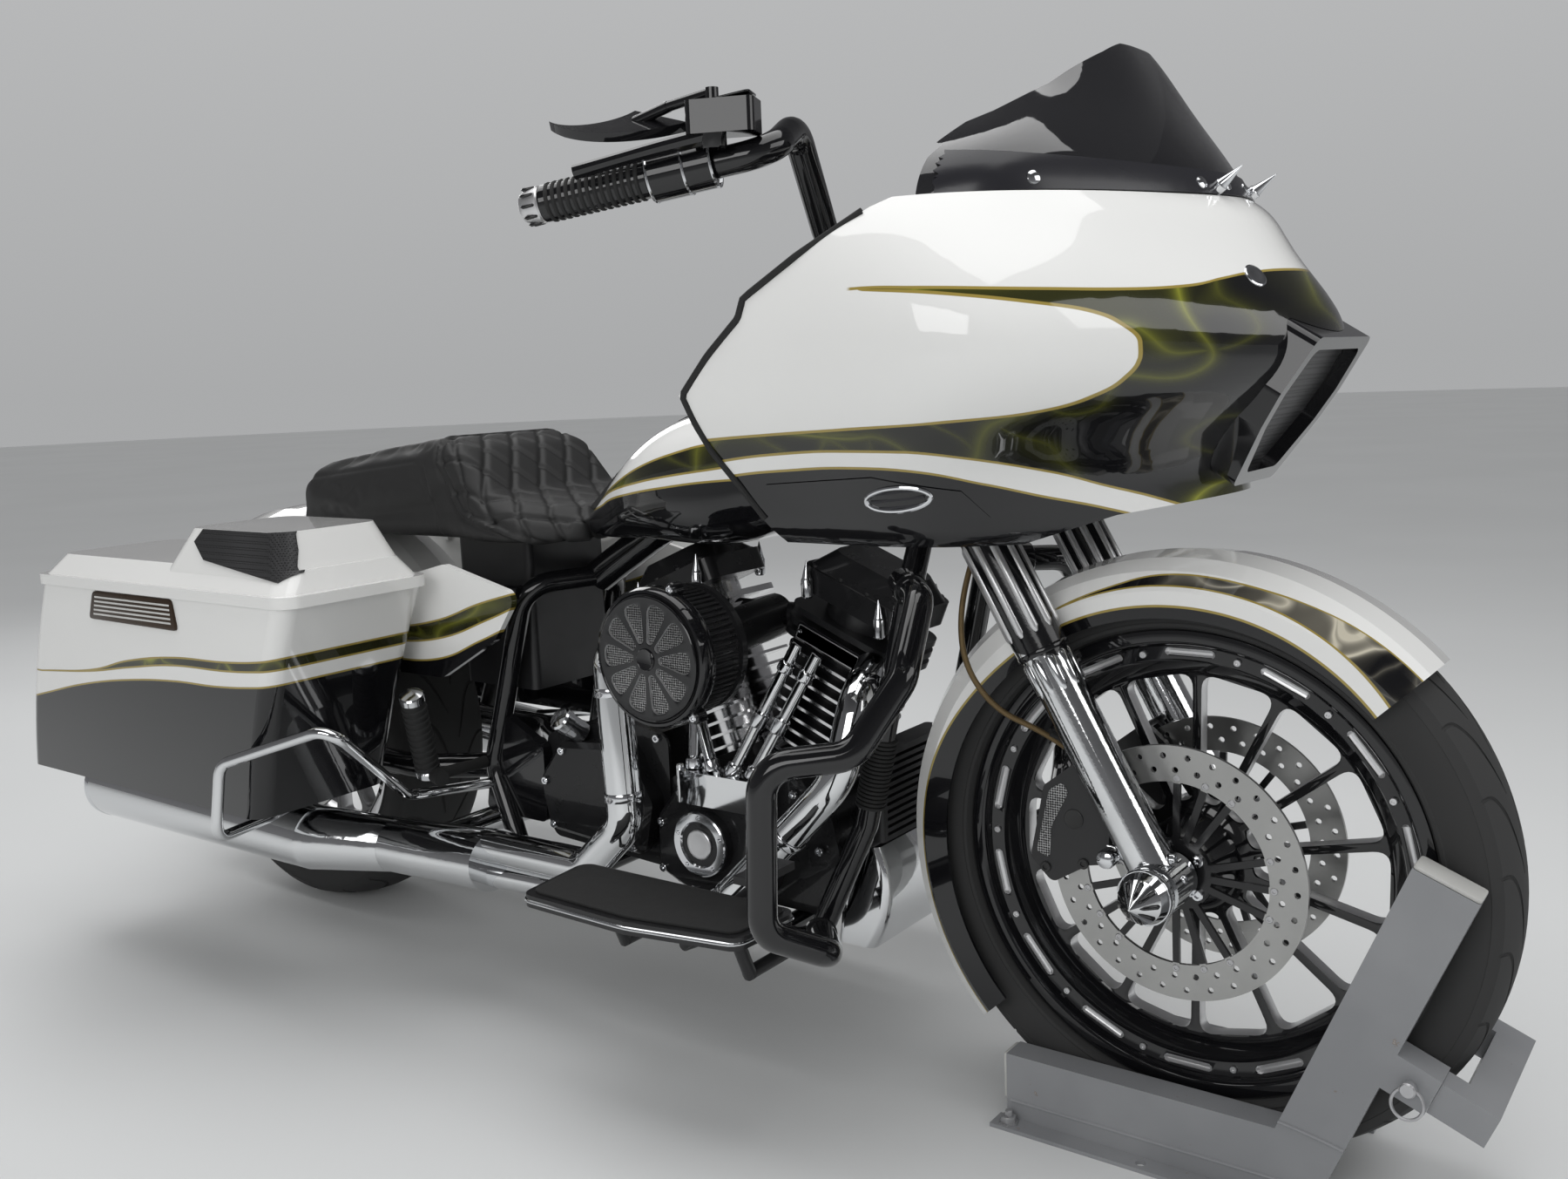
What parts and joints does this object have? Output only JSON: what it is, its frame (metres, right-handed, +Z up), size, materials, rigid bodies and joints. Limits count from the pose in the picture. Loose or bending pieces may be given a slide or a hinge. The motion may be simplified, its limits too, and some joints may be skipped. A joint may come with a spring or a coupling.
{
  "type": "touring motorcycle",
  "caption": "Touring motorcycle with frame-mounted fairing, V-twin engine, stepped seat and hard saddlebags, its front wheel standing in a steel floor chock.",
  "frame": {"origin": "on the floor, under the middle of the machine and its chock", "axes": "+X forward (direction of travel), +Y to the rider's left, +Z up"},
  "size_m": [2.397, 1.031, 1.274],
  "materials": {
    "white_paint": "gloss white lacquer with black swooshes and thin gold lines",
    "black_paint": "gloss black lacquer",
    "satin_black": "satin black powder coat",
    "tyre_rubber": "satin tread rubber",
    "rubber": "matt black rubber",
    "chrome": "polished chrome",
    "polished_aluminium": "polished or machined aluminium",
    "disc_steel": "drilled stainless disc with brushed faces",
    "black_plastic": "moulded black plastic",
    "gloss_plastic": "gloss black plastic",
    "smoked_screen": "dark tinted acrylic",
    "lamp_lens": "clear lamp lens",
    "red_lens": "red lamp lens",
    "seat_leather": "black leather with quilted diamonds",
    "chock_grey": "grey enamel with rust spots",
    "bronze_hose": "braided hose with bronze sleeve"
  },
  "bodies": {
    "chassis": {"air_cleaner": "chrome", "bag_guards": "chrome", "battery_box": "black_plastic", "cam_cover": "satin_black", "chin_spoiler": "chrome", "cylinders": "satin_black", "dash": "black_plastic", "engine_case": "satin_black", "engine_guard": "black_paint", "fairing": "white_paint", "foot_controls": "satin_black", "footboards": "satin_black", "frame": "black_paint", "fuel_tank": "white_paint", "gearbox_cover": "satin_black", "headers": "chrome", "headlamps": "lamp_lens", "mufflers": "chrome", "nose_bezel": "gloss_plastic", "nose_grille": "black_plastic", "oil_cooler": "satin_black", "passenger_pegs": "rubber", "plate_holder": "satin_black", "primary_cover": "satin_black", "pushrod_tubes": "chrome", "rear_axle": "chrome", "rear_calliper": "satin_black", "rear_fender": "white_paint", "rocker_covers": "satin_black", "saddlebag_left": "white_paint", "saddlebag_right": "white_paint", "seat": "seat_leather", "shocks": "satin_black", "side_covers": "white_paint", "swingarm": "black_paint", "tail_light": "red_lens", "windshield": "smoked_screen"},
    "fork": {"yokes": "satin_black", "fork_legs": "chrome", "handlebar": "black_paint", "hand_controls": "black_paint", "mirrors": "black_paint", "front_fender": "white_paint", "front_callipers": "satin_black", "front_axle": "chrome", "brake_hose": "bronze_hose", "chock_frames": "chock_grey", "chock_stop": "chock_grey"},
    "front_wheel_set": {"front_tyre": "tyre_rubber", "front_wheel": "black_paint", "front_rotors": "disc_steel"},
    "rear_wheel_set": {"rear_tyre": "tyre_rubber", "rear_wheel": "black_paint", "rear_rotor": "disc_steel", "drive_pulley": "polished_aluminium"},
    "lid_left": {"bag_lid_left": "white_paint"},
    "lid_right": {"bag_lid_right": "white_paint"},
    "stand": {"side_stand": "satin_black"}
  },
  "joints": [
    {"name": "steering", "type": "hinge", "parent": "chassis", "child": "fork", "pos_m": [1.016, 0, 0], "axis": [-0.4384, 0, 0.8988], "range_deg": [-30, 30]},
    {"name": "front_wheel_spin", "type": "hinge", "parent": "fork", "child": "front_wheel_set", "pos_m": [0.844, 0, 0.35], "axis": [0, 1, 0], "continuous": true},
    {"name": "rear_wheel_spin", "type": "hinge", "parent": "chassis", "child": "rear_wheel_set", "pos_m": [-0.801, 0, 0.327], "axis": [0, 1, 0], "continuous": true},
    {"name": "lid_left_hinge", "type": "hinge", "parent": "chassis", "child": "lid_left", "pos_m": [-0.544, 0.23, 0.65], "axis": [1, 0, 0], "range_deg": [0, 60]},
    {"name": "lid_right_hinge", "type": "hinge", "parent": "chassis", "child": "lid_right", "pos_m": [-0.544, -0.23, 0.65], "axis": [-1, 0, 0], "range_deg": [0, 60]},
    {"name": "side_stand_pivot", "type": "hinge", "parent": "chassis", "child": "stand", "pos_m": [0.299, 0.182, 0.158], "axis": [0.0069, -0.3981, -0.9173], "range_deg": [0, 100]}
  ]
}
